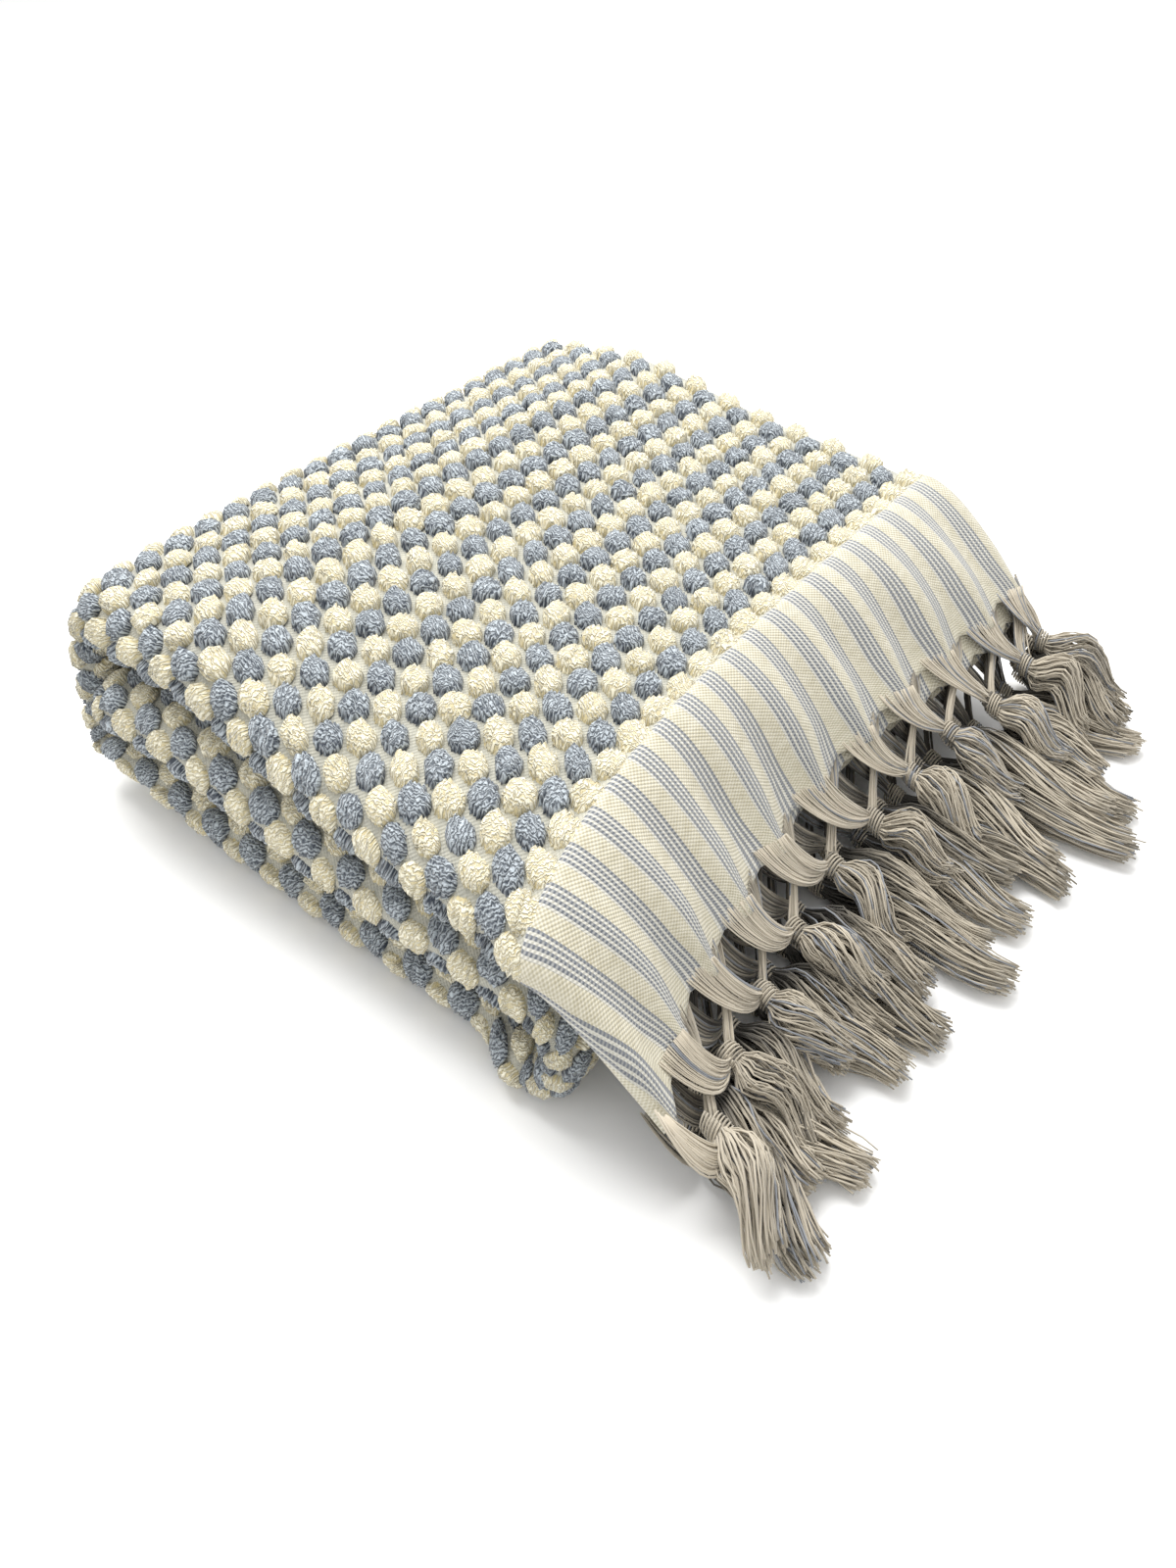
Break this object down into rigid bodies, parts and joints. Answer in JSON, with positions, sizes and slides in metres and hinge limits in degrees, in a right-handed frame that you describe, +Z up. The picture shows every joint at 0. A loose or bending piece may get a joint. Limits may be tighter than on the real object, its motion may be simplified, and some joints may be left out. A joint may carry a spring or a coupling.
{
  "type": "folded bath towel",
  "caption": "Folded bath towel of bobble pile in two colours, with a striped flat-woven border draped down at one end and knotted tassels on the surface.",
  "frame": {"origin": "middle of the outline on the surface that the towel lies on", "axes": "+Z up, +X along the warp towards the visible fringe, +Y along the weft from the round folds to the selvedge"},
  "size_m": [0.3744, 0.3219, 0.099],
  "materials": {
    "cotton_cloth": "bobble pile in cream and slate blue over a flat weave",
    "cotton_yarn": "loose plied yarn, undyed with slate blue strands"
  },
  "bodies": {
    "root": {"towel_cloth": "cotton_cloth", "fringe_outer": "cotton_yarn", "fringe_inner": "cotton_yarn"}
  },
  "joints": []
}
